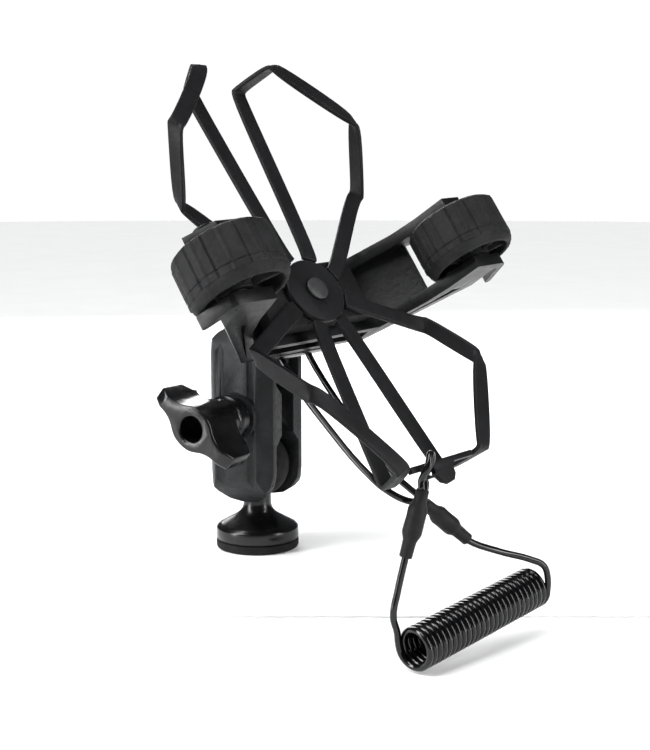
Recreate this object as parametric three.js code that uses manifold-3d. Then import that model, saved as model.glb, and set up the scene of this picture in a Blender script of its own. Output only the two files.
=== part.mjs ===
// Phone mount on a ball base: a turned base with a ball, a two-half clamping arm with a wing knob,
// and a yoke whose two eccentric rubber wheels grip the phone's long edges. A stretch harness loops
// over the phone's four corners and a curly leash ties it to the ball stem.
// Millimetres, +Z up, origin at the centre of the base's underside. The phone faces -Y.
import * as THREE from 'three';
import { mergeVertices } from 'three/addons/utils/BufferGeometryUtils.js';
import Module from 'manifold-3d';

// Fits
const fitGap = 0.3;            // between pieces that touch or rest on each other
const runGap = 0.5;            // round a piece that turns

// Base
const padR = 16.3;
const padH = 3.5;
const baseR = 16.2;
const baseRimTop = 8.4;
const neckR = 5.5;
const ballR = 12.7;            // one-inch ball over its rubber cover
const ballCoverT = 1.6;
const lowerBallZ = 32.8;
const insertR = 4;
const insertLength = 9;

// Arm
const upperBallZ = 75.7;
const armTurn = 17;            // degrees, turns the clamp bolt's line about Z
const armWidth = 28;
const armThick = 31;
const armEndReach = 13.3;      // ball centre to the arm's end
const armEndRound = 12;        // rounding of each half's four corners
const armEndSlope = 6.5;       // how far the ends lean in from the outer face
const armEndDrop = 1.6;        // the outer face's drop where that lean begins
const socketRim = 8.5;         // mid-plane to the socket's rim
const waistRim = 4.5;          // mid-plane to the inner face at the bolt
const waistHalf = 8;
const fluteDepth = 1.3;
const fluteHalf = 1.9;
const fluteAt = 7;             // the flutes' distance from the arm's own centre line
const cornerCut = 4.5;
const springSeatR = 5.6;
const springSeatDepth = 3;
const springR = 4.6;
const springWireR = 0.6;
const springTurns = 3;
const boltR = 3.1;
const boltHeadR = 6;
const boltHeadT = 3.4;
const bossR = 9.4;
const bossH = 2.2;
const washerR = 8;
const washerT = 1.2;

// Wing knob
const knobReach = 46;          // arm centre to the hub's outer end
const hubR = 8;
const knobSkirtR = 9;
const knobSkirtH = 4;
const knobBoreR = 4.75;
const knobBoreDepth = 9;
const knobNutR = 5.2;
const knobNutT = 5;
const wingSpan = 39;
const wingDepth = 18;
const wingT = 5.8;
const wingTilt = -38;          // degrees, the wings' line about the bolt
const wingTipBase = [4, 5];    // how far a tip is drawn back at its base, and over what length
const wingTipEnd = [2.5, 4];   // the same at its outer end

// Phone's space with its case, in the phone's frame: r to its right, u along it, n out of its glass
const phoneHalfR = 44;
const phoneHalfU = 82.6;
const phoneFrontN = 1.5;
const phoneBackN = -13;

// Yoke, in the phone's frame; its lugs and wheels keep their distance from the phone's edge
const leanBack = 34.8;         // degrees
const roll = 3.15;             // degrees
const glassRise = 8;           // glass centre above the ball stem's axis, along u
const glassReach = 59;         // ball centre to the glass, along n
const backHalf = phoneHalfR - 11.3;
const backN = -34;
const lugOuterR = phoneHalfR + 27;
const lugShoulderN = 6.6;
const lugFrontN = 16;
const lugFrontOuterR = phoneHalfR + 19;
const lugInnerR = phoneHalfR + 9;
const innerBackN = -24.5;
const yokeTopU = 11.1;
const yokeBottomU = -19.8;
const plateT = 4.7;
const wallT = 3;
const pocketDepth = 2.4;
const rimT = 2.4;
const slotR = phoneHalfR + 22.2; // inner wall of the slot behind each lower lug's hook
const slotEndN = 12;
const channelReach = 20;       // how far the open channel runs past the lugs
const hookRootR = phoneHalfR + 26.8;
const hookTipR = phoneHalfR + 31.4;
const hookTipN = 0.3;
const hookTipT = 2.6;

// Ball stem
const stemNeckR = 4.8;
const flangeT = 3.4;
const flangeHalfR = 17;
const flangeHalfU = 12;
const flangeCut = 4;
const screwR = 2;
const screwLength = 9;
const screwHeadR = 3.6;
const screwHeadT = 2.2;
const screwInset = 4.6;

// Wheels
const wheelR = 18;
const wheelWidth = 20.2;
const wheelChamfer = 2.4;
const wheelRimT = 4;
const wheelWebT = 7;
const wheelCentreR = phoneHalfR + 16;
const wheelCentreN = 9.9;
const pinAxisR = phoneHalfR + 18.5;
const pinAxisN = 8.9;
const spokeCount = 7;
const spokeT = 2;
const spokeSet = 2;            // a spoke's edge lies this far inside the tyre's end
const firstSpoke = 0.25;       // where the first one stands, as a part of one step
const bushR = 4.2;
const wheelHubR = 6.6;
const pinR = 2;
const pinHeadR = 4;
const pinHeadT = 1.2;
const pinBlindT = 1.6;         // wall left below the pin's blind hole
const ribAngles = [8, 40, 66, 104, 131, 168, 197, 229, 262, 288, 321, 344];
const ribHalf = 1.1;
const ribProud = 0.45;

// Harness
const strapW = 6.5;
const strapT = 2;
const hubDiscR = 13;
const hubDiscT = 2.4;
const hubSink = 1.7;           // the disc lies this much behind the straps, clear of the phone
const hubU = -4.3;
const strapRound = 2.2;
const sideLean = 24;           // how much nearer the hub a band is behind the phone than in front
const endLean = 7;             // the same along the phone's end
const hubRun = 5;              // straight part of a band at the hub's edge
const sideFan = 24;            // degrees above the hub's level where a strap to the side leaves it
const endFan = 68;
const backPadHalfR = 26;
const backPadHalfU = 12;
const tabT = 2;
const tabHalf = 16.6;
const tabEdge = 2;             // depth of the edge that runs along the phone's end
const tabEyeR = 2.2;
const tabEyeAt = -7.9;
const tabEyeDrop = 2.8;
const rivetR = 2.4;
const rivetHeadR = 4.5;
const rivetHeadT = 1.1;

// Leash
const cordR = 1.25;
const coilR = 7.85;
const sleeveR = 3.5;
const sleeveTailR = 2.3;

const deg = Math.PI / 180;
const halfArm = armThick / 2;
const armMidZ = (lowerBallZ + upperBallZ) / 2;
const armHalfLength = (upperBallZ - lowerBallZ) / 2 + armEndReach;
const coreR = ballR - ballCoverT - fitGap;
const wheelMidU = (yokeTopU - plateT + yokeBottomU + plateT) / 2;
const wheelThrow = Math.hypot(pinAxisR - wheelCentreR, pinAxisN - wheelCentreN);

const wasm = await Module();
wasm.setup();

const finish = (hex, roughness, metalness = 0) =>
  new THREE.MeshStandardMaterial({ color: hex, roughness, metalness });
const glossBlack = finish(0x141416, 0.25);
const satinBlack = finish(0x1c1d1f, 0.5);
const rubber = finish(0x3a3b3d, 0.85);
const softRubber = finish(0x202123, 0.8);
const silicone = finish(0x26272a, 0.6);
const steel = finish(0x9a9da1, 0.3, 1);
const brass = finish(0xb08d4a, 0.35, 1);
const nylon = finish(0x2b2b2d, 0.55);

// Solids for joining and cutting
function solid(geometry) {
  const bare = geometry.index ? geometry.toNonIndexed() : geometry.clone();
  bare.deleteAttribute('normal');
  bare.deleteAttribute('uv');
  const merged = mergeVertices(bare, 1e-4);
  return new wasm.Manifold(new wasm.Mesh({
    numProp: 3,
    vertProperties: new Float32Array(merged.attributes.position.array),
    triVerts: new Uint32Array(merged.index.array),
  }));
}

function shell(body) {
  const mesh = body.getMesh();
  const geometry = new THREE.BufferGeometry();
  geometry.setAttribute('position', new THREE.BufferAttribute(mesh.vertProperties, 3));
  geometry.setIndex(new THREE.BufferAttribute(mesh.triVerts, 1));
  geometry.computeVertexNormals();
  return geometry;
}

const join = (first, ...rest) => rest.reduce((body, more) => body.add(more), first);
const cut = (first, ...rest) => rest.reduce((body, less) => body.subtract(less), first);

// A turned piece: profile points are [radius, height], spun about Z
function turned(profile, sides = 40) {
  const points = profile.map(([r, z]) => new THREE.Vector2(r, z));
  return new THREE.LatheGeometry(points, sides).rotateX(Math.PI / 2);
}

function disc(radius, from, to, sides = 32) {
  return turned([[0, from], [radius, from], [radius, to], [0, to]], sides);
}

function block(min, max) {
  const size = max.map((value, i) => value - min[i]);
  const mid = max.map((value, i) => (value + min[i]) / 2);
  return new THREE.BoxGeometry(...size).translate(...mid);
}

function slab(outline, from, to) {
  const shape = new THREE.Shape(outline.map(([x, y]) => new THREE.Vector2(x, y)));
  return new THREE.ExtrudeGeometry(shape, { depth: to - from, bevelEnabled: false }).translate(0, 0, from);
}

// Slabs that stand on another plane: an outline in (x, z) run along y, and one in (y, z) run along x
const slabAlongY = (outline, from, to) => slab(outline, -to, -from).rotateX(Math.PI / 2);
const yzOntoX = new THREE.Matrix4().set(0, 0, 1, 0, 1, 0, 0, 0, 0, 1, 0, 0, 0, 0, 0, 1);
const slabAlongX = (outline, from, to) => slab(outline, from, to).applyMatrix4(yzOntoX);

// A round tube along a list of points
function tube(points, radius, steps, sides = 8) {
  const path = new THREE.CatmullRomCurve3(points.map((p) => new THREE.Vector3(...p)), false, 'centripetal');
  const section = new THREE.Shape();
  for (let i = 0; i < sides; i += 1) {
    const turn = (2 * Math.PI * i) / sides;
    const corner = [radius * Math.cos(turn), radius * Math.sin(turn)];
    if (i === 0) {
      section.moveTo(...corner);
    } else {
      section.lineTo(...corner);
    }
  }
  return new THREE.ExtrudeGeometry(section, { extrudePath: path, steps, bevelEnabled: false });
}

// A flat strap through stations of [place, outward direction]: a box bent to follow them
function strap(stations, width, thick) {
  const places = stations.map(([p]) => new THREE.Vector3(...p));
  const frames = stations.map(([, out], i) => {
    const ahead = places[Math.min(i + 1, places.length - 1)];
    const behind = places[Math.max(i - 1, 0)];
    const along = ahead.clone().sub(behind).normalize();
    const across = new THREE.Vector3().crossVectors(new THREE.Vector3(...out), along).normalize();
    const outward = new THREE.Vector3().crossVectors(along, across).normalize();
    return { across, outward };
  });
  const spans = stations.length - 1;
  const bent = new THREE.BoxGeometry(width, thick, spans, 1, 1, spans);
  const spots = bent.attributes.position;
  for (let i = 0; i < spots.count; i += 1) {
    const station = Math.round(spots.getZ(i) + spans / 2);
    const { across, outward } = frames[station];
    const spot = places[station].clone()
      .addScaledVector(across, spots.getX(i))
      .addScaledVector(outward, spots.getY(i));
    spots.setXYZ(i, spot.x, spot.y, spot.z);
  }
  return bent;
}

const group = new THREE.Group();
const arm = new THREE.Group();
const cradle = new THREE.Group();
const holder = new THREE.Group();
group.add(arm);
group.add(cradle);
cradle.add(holder);
arm.rotation.z = armTurn * deg;
cradle.position.z = upperBallZ;
cradle.rotation.set((90 - leanBack) * deg, 0, roll * deg);
holder.position.set(0, glassRise, glassReach);

function piece(parent, name, geometry, material) {
  const mesh = new THREE.Mesh(geometry, material);
  mesh.name = name;
  parent.add(mesh);
  return mesh;
}

// Base: rubber foot, turned body with its neck and ball core, brass insert from below
const insertHoleR = insertR + fitGap;
piece(group, 'base_pad', turned([
  [insertHoleR + 1, 0], [padR - 0.8, 0], [padR, 0.8], [padR, padH - 0.5], [padR - 0.5, padH],
  [insertHoleR + 1, padH], [insertHoleR + 1, 0],
], 48), softRubber);
const bodyProfile = [
  [0, padH + fitGap], [baseR, padH + fitGap], [baseR, baseRimTop], [15.4, 9.1], [12.6, 10.7],
  [10, 12.1], [8, 13.3], [6.7, 14.4], [5.9, 15.8], [neckR, 17.6],
];
const coreStart = Math.asin(neckR / coreR);
const coreRings = 9;
for (let i = 0; i <= coreRings; i += 1) {
  const swing = coreStart + ((Math.PI - coreStart) * i) / coreRings;
  bodyProfile.push([i === coreRings ? 0 : coreR * Math.sin(swing), lowerBallZ - coreR * Math.cos(swing)]);
}
const insertFloor = padH + fitGap + insertLength;
piece(group, 'base_body', shell(cut(
  solid(turned(bodyProfile, 40)),
  solid(disc(insertHoleR, -1, insertFloor + fitGap, 24)),
)), glossBlack);
piece(group, 'thread_insert', turned([
  [2.6, padH + fitGap], [insertR, padH + fitGap], [insertR, insertFloor], [2.6, insertFloor],
  [2.6, padH + fitGap],
], 24), brass);

// Ball covers: rubber shells over the cores, open where the neck leaves
function ballCover(neck) {
  const innerR = ballR - ballCoverT;
  const open = Math.asin((neck + runGap) / innerR);
  const arc = (radius, rings) => Array.from({ length: rings + 1 }, (_, i) => {
    const swing = open + ((Math.PI - open) * i) / rings;
    return [i === rings ? 0 : radius * Math.sin(swing), -radius * Math.cos(swing)];
  });
  const outside = arc(ballR, 12);
  return turned([...outside, ...arc(innerR, 9).reverse(), outside[0]], 32);
}
piece(group, 'lower_ball_cover', ballCover(neckR).translate(0, 0, lowerBallZ), softRubber);
piece(cradle, 'upper_ball_cover', ballCover(stemNeckR).rotateX(Math.PI), softRubber);

// Arm halves: the knob is on -X of the arm's own frame
const faceHalf = armWidth / 2;
const low = armMidZ - armHalfLength;
const high = armMidZ + armHalfLength;
const faceOutline = [];
const roundSteps = 4;
for (const [sy, sz, start] of [[1, -1, -90], [1, 1, 0], [-1, 1, 90], [-1, -1, 180]]) {
  const centreY = sy * (faceHalf - armEndRound);
  const centreZ = armMidZ + sz * (armHalfLength - armEndRound);
  for (let i = 0; i <= roundSteps; i += 1) {
    const turn = (start + (90 * i) / roundSteps) * deg;
    faceOutline.push([centreY + armEndRound * Math.cos(turn), centreZ + armEndRound * Math.sin(turn)]);
  }
}
const section = [
  [waistRim, -faceHalf], [halfArm - cornerCut, -faceHalf], [halfArm, -faceHalf + cornerCut],
  [halfArm, -fluteAt - fluteHalf], [halfArm - fluteDepth, -fluteAt], [halfArm, -fluteAt + fluteHalf],
  [halfArm, fluteAt - fluteHalf], [halfArm - fluteDepth, fluteAt], [halfArm, fluteAt + fluteHalf],
  [halfArm, faceHalf - cornerCut], [halfArm - cornerCut, faceHalf], [waistRim, faceHalf],
];
const innerSlope = socketRim - waistRim;
const endBlend = 1.5 * armEndSlope;
const sideProfile = [
  [socketRim, low], [halfArm - armEndSlope, low], [halfArm - armEndDrop, low + armEndSlope],
  [halfArm, low + endBlend], [halfArm, high - endBlend], [halfArm - armEndDrop, high - armEndSlope],
  [halfArm - armEndSlope, high], [socketRim, high],
  [socketRim, armMidZ + waistHalf + innerSlope], [waistRim, armMidZ + waistHalf],
  [waistRim, armMidZ - waistHalf], [socketRim, armMidZ - waistHalf - innerSlope],
];
const socketBall = (z) => solid(new THREE.SphereGeometry(ballR + fitGap, 40, 24).translate(0, 0, z));
const alongX = (geometry) => geometry.rotateY(Math.PI / 2).translate(0, 0, armMidZ);
function armHalf() {
  const bulk = solid(slab(section, low - 1, high + 1))
    .intersect(solid(slabAlongY(sideProfile, -faceHalf - 1, faceHalf + 1)))
    .intersect(solid(slabAlongX(faceOutline, 0, halfArm + 1)));
  return cut(
    bulk,
    socketBall(lowerBallZ),
    socketBall(upperBallZ),
    solid(alongX(disc(boltR + fitGap, 0, halfArm + 2, 24))),
  );
}
const springSeat = solid(alongX(disc(springSeatR, 0, waistRim + springSeatDepth, 24)));
const flip = new THREE.Matrix4().makeRotationZ(Math.PI);
const bossRing = solid(alongX(disc(bossR, halfArm - 1, halfArm + bossH, 40)));
const boltHole = solid(alongX(disc(boltR + fitGap, 0, halfArm + bossH + 1, 24)));
const knobHalf = cut(join(armHalf(), bossRing), springSeat, boltHole);
const headSeat = solid(alongX(disc(boltHeadR + fitGap, halfArm - boltHeadT, halfArm + 1, 6)));
const headHalf = cut(armHalf(), springSeat, headSeat);
piece(arm, 'arm_knob_half', shell(knobHalf).applyMatrix4(flip), satinBlack);
piece(arm, 'arm_bolt_half', shell(headHalf), satinBlack);

// Clamp bolt, spring, washer, knob and its nut; all on the bolt's line
const boltTip = knobReach - knobBoreDepth - 1;
const clampBolt = join(
  solid(disc(boltR, -boltTip, halfArm - boltHeadT + 0.5, 24)),
  solid(disc(boltHeadR, halfArm - boltHeadT + fitGap, halfArm, 6)),
);
piece(arm, 'clamp_bolt', alongX(shell(clampBolt)), steel);
const springPoints = [];
const springHalf = waistRim + springSeatDepth - fitGap - springWireR;
for (let i = 0; i <= springTurns * 12; i += 1) {
  const turn = (2 * Math.PI * i) / 12;
  const along = -springHalf + (2 * springHalf * i) / (springTurns * 12);
  springPoints.push([springR * Math.cos(turn), springR * Math.sin(turn), along]);
}
piece(arm, 'clamp_spring', alongX(tube(springPoints, springWireR, springTurns * 14, 6)), steel);
const washerStart = halfArm + bossH + fitGap;
const washer = cut(
  solid(disc(washerR, -washerStart - washerT, -washerStart, 32)),
  solid(disc(boltR + fitGap, -washerStart - washerT - 1, -washerStart + 1, 24)),
);
piece(arm, 'knob_washer', alongX(shell(washer)), steel);
const knobStart = washerStart + washerT + fitGap;
const nutStart = knobReach - knobBoreDepth - 1 - knobNutT;
const wingHalf = wingSpan / 2;
const wingBase = knobReach - wingDepth;
// The head's outline seen from the knob's end: the hub flows into each wing
const quarterBow = [
  [hubR, 0], [7.7, 3], [6.6, 5.5], [4.8, 8], [3.4, 11], [wingT / 2, 14], [wingT / 2, wingHalf],
];
const bowHalf = [...quarterBow, ...quarterBow.slice().reverse().map(([x, y]) => [-x, y])];
const bow = [...bowHalf, ...bowHalf.slice(1, -1).reverse().map(([x, y]) => [x, -y])];
// Seen from the side, the wings' tips are drawn back at both ends of their depth
const [baseDraw, baseRun] = wingTipBase;
const [endDraw, endRun] = wingTipEnd;
const wingSide = [
  [-wingHalf, wingBase + baseDraw], [-wingHalf + baseRun, wingBase],
  [wingHalf - baseRun, wingBase], [wingHalf, wingBase + baseDraw],
  [wingHalf, knobReach - endDraw], [wingHalf - endRun, knobReach],
  [-wingHalf + endRun, knobReach], [-wingHalf, knobReach - endDraw],
];
const head = solid(slab(bow, wingBase - 1, knobReach + 1))
  .intersect(solid(slabAlongX(wingSide, -hubR - 1, hubR + 1)));
const knob = cut(
  join(
    solid(turned([
      [0, knobStart], [knobSkirtR, knobStart], [knobSkirtR, knobStart + knobSkirtH],
      [hubR - 0.3, knobStart + knobSkirtH + 1.5], [hubR - 0.3, wingBase + 2], [0, wingBase + 2],
    ], 36)),
    head,
  ),
  solid(disc(knobBoreR, knobReach - knobBoreDepth, knobReach + 1, 28)),
  solid(disc(boltR + fitGap, 0, knobReach, 24)),
  solid(disc(knobNutR + fitGap, knobStart - 1, nutStart + knobNutT + fitGap, 6)),
);
const ontoKnobLine = (geometry) => geometry
  .rotateZ(wingTilt * deg)
  .rotateY(-Math.PI / 2)
  .translate(0, 0, armMidZ);
piece(arm, 'wing_knob', ontoKnobLine(shell(knob)), glossBlack);
const nut = cut(
  solid(disc(knobNutR, nutStart, nutStart + knobNutT, 6)),
  solid(disc(boltR + 0.15, nutStart - 1, nutStart + knobNutT + 1, 24)),
);
piece(arm, 'knob_nut', ontoKnobLine(shell(nut)), brass);

// Ball stem: core, neck and a flange screwed to the yoke's back
const toGlass = new THREE.Matrix4().makeTranslation(0, -glassRise, -glassReach);
const flangeTop = backN - fitGap;
const stemProfile = [[0, -coreR]];
const stemOpen = Math.asin(stemNeckR / coreR);
for (let i = 1; i <= coreRings; i += 1) {
  const swing = ((Math.PI - stemOpen) * i) / coreRings;
  stemProfile.push([coreR * Math.sin(swing), -coreR * Math.cos(swing)]);
}
const flangeLow = flangeTop - flangeT;
const neckEnd = glassReach + flangeLow + 0.4;
stemProfile.push([stemNeckR, neckEnd - 1], [stemNeckR + 0.6, neckEnd], [0, neckEnd]);
const flangeOutline = [
  [flangeHalfR, -flangeHalfU + flangeCut], [flangeHalfR, flangeHalfU - flangeCut],
  [flangeHalfR - flangeCut, flangeHalfU], [-flangeHalfR + flangeCut, flangeHalfU],
  [-flangeHalfR, flangeHalfU - flangeCut], [-flangeHalfR, -flangeHalfU + flangeCut],
  [-flangeHalfR + flangeCut, -flangeHalfU], [flangeHalfR - flangeCut, -flangeHalfU],
];
const stemAxis = (geometry) => geometry.translate(0, -glassRise, 0);
const screwSpots = [];
for (const sideR of [-1, 1]) {
  for (const sideU of [-1, 1]) {
    screwSpots.push([sideR * (flangeHalfR - screwInset), sideU * (flangeHalfU - screwInset)]);
  }
}
const screwHoles = (radius, from, to) =>
  screwSpots.map(([x, y]) => solid(stemAxis(disc(radius, from, to, 16).translate(x, y, 0))));
const stem = cut(
  join(
    solid(turned(stemProfile, 36)).transform(toGlass.elements),
    solid(stemAxis(slab(flangeOutline, flangeLow, flangeTop))),
  ),
  ...screwHoles(screwR + fitGap, flangeLow - 1, flangeTop + 1),
);
piece(holder, 'ball_stem', shell(stem), glossBlack);
const screw = join(
  solid(disc(screwR, flangeLow - 1, flangeLow + screwLength - flangeT + 2, 16)),
  solid(disc(screwHeadR, flangeLow - fitGap - screwHeadT, flangeLow - fitGap, 16)),
);
const screwNames = ['lower_left', 'upper_left', 'lower_right', 'upper_right'];
screwSpots.forEach(([x, y], i) => {
  piece(holder, `stem_screw_${screwNames[i]}`, stemAxis(shell(screw).translate(x, y, 0)), steel);
});

// Yoke: two plates joined by a back wall, open at the front, cored from below. Its lugs hold the
// wheels' pins, and each lower lug ends in a hook with a slot behind it.
const armSlope = (lugShoulderN - backN) / (lugOuterR - backHalf);
const outerRAt = (n) => backHalf + (n - backN) / armSlope;
const innerEdge = [
  [phoneHalfR + 6, 1.6], [phoneHalfR + 2, -8.4], [backHalf + 0.8, innerBackN],
];
const upperHalf = [
  [backHalf, backN], [lugOuterR, lugShoulderN], [lugFrontOuterR, lugFrontN], [lugInnerR, lugFrontN],
  ...innerEdge,
];
const lowerHalf = [
  [backHalf, backN], [outerRAt(hookTipN), hookTipN], [slotR, slotEndN - 1.4], [slotR + 0.8, slotEndN],
  [slotR + 2, slotEndN], [slotR + 2.8, slotEndN - 1], [hookTipR - hookTipT, hookTipN + 1],
  [hookTipR - hookTipT / 2 - 0.6, hookTipN], [hookTipR - 0.6, hookTipN], [hookTipR, hookTipN + 1.2],
  [hookRootR, lugFrontN - 2.2], [hookRootR - 1.2, lugFrontN - 0.6], [hookRootR - 3.4, lugFrontN],
  [lugInnerR, lugFrontN], ...innerEdge,
];
const mirrorHalf = (half) => half.slice().reverse().map(([r, n]) => [-r, n]);
const bothHalves = (half) => [...half, ...mirrorHalf(half)];
const plateTop = yokeTopU - plateT;
const plateLow = yokeBottomU + plateT;
const openN = lugFrontN + 5;
const wallShift = wallT * Math.hypot(1, 1 / armSlope);
const channelHalf = [
  [outerRAt(backN + wallT) - wallShift, backN + wallT],
  [outerRAt(lugShoulderN) - wallShift, lugShoulderN],
  [lugOuterR + channelReach, lugShoulderN], [lugOuterR + channelReach, openN],
];
const pocketN = -1;
const pocketHalf = [
  [backHalf - 1, backN + rimT], [outerRAt(pocketN) - 2 * rimT, pocketN],
  [phoneHalfR + 10.5, pocketN], [phoneHalfR + 5.5, -9], [backHalf + 2.8, innerBackN - rimT],
];
const archR = wheelR + wheelThrow + 1;
const alongPin = (geometry, side) => geometry.rotateX(-Math.PI / 2).translate(side * pinAxisR, 0, pinAxisN);
const sides = [-1, 1];
const arches = sides.map((side) => solid(alongPin(disc(archR, plateLow, plateTop, 48), side)));
const pinHole = disc(pinR + fitGap, yokeBottomU + pinBlindT, yokeTopU + 1, 20);
const pinHoles = sides.map((side) => solid(alongPin(pinHole.clone(), side)));
const pocket = (side) => solid(slabAlongY(
  side > 0 ? pocketHalf : mirrorHalf(pocketHalf),
  yokeBottomU - 1,
  yokeBottomU + pocketDepth,
));
const midPocket = solid(block(
  [-backHalf + 4, yokeBottomU - 1, backN + rimT],
  [backHalf - 4, yokeBottomU + pocketDepth, innerBackN - rimT],
));
const blank = join(
  solid(slabAlongY(bothHalves(upperHalf), plateLow - 0.5, yokeTopU)),
  solid(slabAlongY(bothHalves(lowerHalf), yokeBottomU, plateLow)),
);
const yoke = cut(
  blank,
  solid(slabAlongY(bothHalves(channelHalf), plateLow, plateTop)),
  ...arches,
  pocket(-1),
  pocket(1),
  midPocket,
  ...pinHoles,
  ...screwHoles(screwR + fitGap, backN - 1, backN + wallT + 3),
);
piece(holder, 'yoke', shell(yoke), satinBlack);

// Wheels: eccentric rubber rollers with spokes at the open lower end, on a bush and a headed pin
const tyreLow = -wheelWidth / 2;
const tyreHigh = wheelWidth / 2;
function tyre(side) {
  const tread = solid(turned([
    [0, tyreLow], [wheelR - wheelChamfer, tyreLow], [wheelR, tyreLow + wheelChamfer],
    [wheelR, tyreHigh - wheelChamfer], [wheelR - wheelChamfer, tyreHigh], [0, tyreHigh],
  ], 48));
  const ribs = ribAngles.map((angle) => solid(block(
    [wheelR - 1, -ribHalf, tyreLow + wheelChamfer],
    [wheelR + ribProud, ribHalf, tyreHigh - wheelChamfer],
  ).rotateZ(angle * deg)));
  const offsetR = side * (pinAxisR - wheelCentreR);
  const offsetN = pinAxisN - wheelCentreN;
  const hubAt = (geometry) => geometry.translate(offsetR, -offsetN, 0);
  const hollow = solid(disc(wheelR - wheelRimT, tyreLow - 1, tyreHigh - wheelWebT, 48));
  const hubTube = solid(hubAt(disc(wheelHubR, tyreLow + 1, tyreHigh, 28)));
  const spokes = [];
  for (let i = 0; i < spokeCount; i += 1) {
    const spoke = block([0, -spokeT / 2, tyreLow + spokeSet], [archR, spokeT / 2, tyreHigh - spokeSet]);
    spokes.push(solid(hubAt(spoke.rotateZ(((i + firstSpoke) * 2 * Math.PI) / spokeCount))));
  }
  const coreDisc = solid(disc(wheelR - wheelRimT + 0.5, tyreLow, tyreHigh, 48));
  const core = join(hubTube, ...spokes).intersect(coreDisc);
  const bore = solid(hubAt(disc(bushR + 0.15, tyreLow - 1, tyreHigh + 1, 28)));
  return cut(join(cut(join(tread, ...ribs), hollow), core), bore);
}
// A wheel's own axis is Z here; it is laid along u, with its open end down
const layWheel = (geometry, side) => geometry
  .rotateX(-Math.PI / 2)
  .translate(side * wheelCentreR, wheelMidU, wheelCentreN);
sides.forEach((side) => {
  const name = side < 0 ? 'left' : 'right';
  piece(holder, `${name}_wheel`, layWheel(shell(tyre(side)), side), rubber);
  const bush = cut(
    solid(disc(bushR, wheelMidU + tyreLow, wheelMidU + tyreHigh, 28)),
    solid(disc(pinR + 0.15, plateLow - 2, plateTop + 2, 20)),
  );
  piece(holder, `${name}_wheel_bush`, alongPin(shell(bush), side), nylon);
  const pin = join(
    solid(disc(pinR, yokeBottomU + pinBlindT + fitGap, yokeTopU + 0.5, 20)),
    solid(disc(pinHeadR, yokeTopU + fitGap, yokeTopU + fitGap + pinHeadT, 24)),
    solid(disc(pinR, yokeTopU, yokeTopU + fitGap + 0.5, 20)),
  );
  piece(holder, `${name}_wheel_pin`, alongPin(shell(pin), side), steel);
});

// Harness: a stretch band round each of the phone's corners, all from a disc behind the phone
const rideOut = 0.6 + strapT / 2;
const frontN = phoneFrontN + rideOut;
const rearN = phoneBackN - rideOut;
const hubN = rearN - hubSink;
const sideR = phoneHalfR + rideOut;
const endU = phoneHalfU + rideOut;
const corners = [
  { name: 'upper_left', side: -1, end: 1, across: 21, along: 59 },
  { name: 'upper_right', side: 1, end: 1, across: 17, along: 57 },
  { name: 'lower_left', side: -1, end: -1, across: 22, along: 50 },
  { name: 'lower_right', side: 1, end: -1, across: 22, along: 51 },
];
const hubEdge = hubDiscR + fitGap + 0.4;
for (const { name, side, end, across, along } of corners) {
  const sideBack = along - sideLean;
  const endBack = across - endLean;
  const fromHub = (fan, far = 0) => [
    side * (hubEdge + far) * Math.cos(fan * deg), hubU + end * (hubEdge + far) * Math.sin(fan * deg), hubN,
  ];
  const stations = [
    [fromHub(sideFan), [0, 0, -1]],
    [fromHub(sideFan, hubRun), [0, 0, -1]],
    [[side * (phoneHalfR - strapRound), end * (sideBack - 1.5), rearN], [0, 0, -1]],
    [[side * (sideR - 0.6), end * sideBack, rearN + 0.8], [side, 0, -1]],
    [[side * sideR, end * (sideBack + 2), rearN + strapRound], [side, 0, 0]],
    [[side * sideR, end * (along - 2), frontN - strapRound], [side, 0, 0]],
    [[side * (sideR - 0.6), end * along, frontN - 0.8], [side, 0, 1]],
    [[side * (phoneHalfR - strapRound), end * (along + 2.2), frontN], [0, 0, 1]],
    [[side * (across + 1.6), end * (phoneHalfU - strapRound), frontN], [0, 0, 1]],
    [[side * across, end * (endU - 0.6), frontN - 0.8], [0, end, 1]],
    [[side * (across - 0.6), end * endU, frontN - strapRound], [0, end, 0]],
    [[side * (endBack + 0.8), end * endU, rearN + strapRound], [0, end, 0]],
    [[side * (endBack + 0.2), end * (endU - 0.6), rearN + 0.8], [0, end, -1]],
    [[side * (endBack - 0.4), end * (phoneHalfU - strapRound), rearN], [0, 0, -1]],
    [fromHub(endFan, hubRun), [0, 0, -1]],
    [fromHub(endFan), [0, 0, -1]],
  ];
  piece(holder, `harness_${name}`, strap(stations, strapW, strapT), silicone);
}
const hubFront = hubN + hubDiscT / 2;
const hubBack = hubN - hubDiscT / 2;
const atHub = (geometry) => geometry.translate(0, hubU, 0);
piece(holder, 'harness_hub', shell(cut(
  solid(atHub(disc(hubDiscR, hubBack, hubFront, 40))),
  solid(atHub(disc(rivetR + fitGap, hubBack - 1, hubFront + 1, 20))),
)), silicone);
const padFront = hubBack - fitGap;
const padBack = innerBackN + fitGap;
piece(holder, 'back_pad', shell(cut(
  solid(atHub(block([-backPadHalfR, -backPadHalfU, padBack], [backPadHalfR, backPadHalfU, padFront]))),
  solid(atHub(disc(rivetR + fitGap, padBack - 1, padFront + 1, 20))),
)), softRubber);
piece(holder, 'hub_rivet', shell(join(
  solid(atHub(disc(rivetR, padBack + 0.5, hubFront + 0.6, 20))),
  solid(atHub(disc(rivetHeadR, hubFront + fitGap, hubFront + fitGap + rivetHeadT, 24))),
)), nylon);

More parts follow.
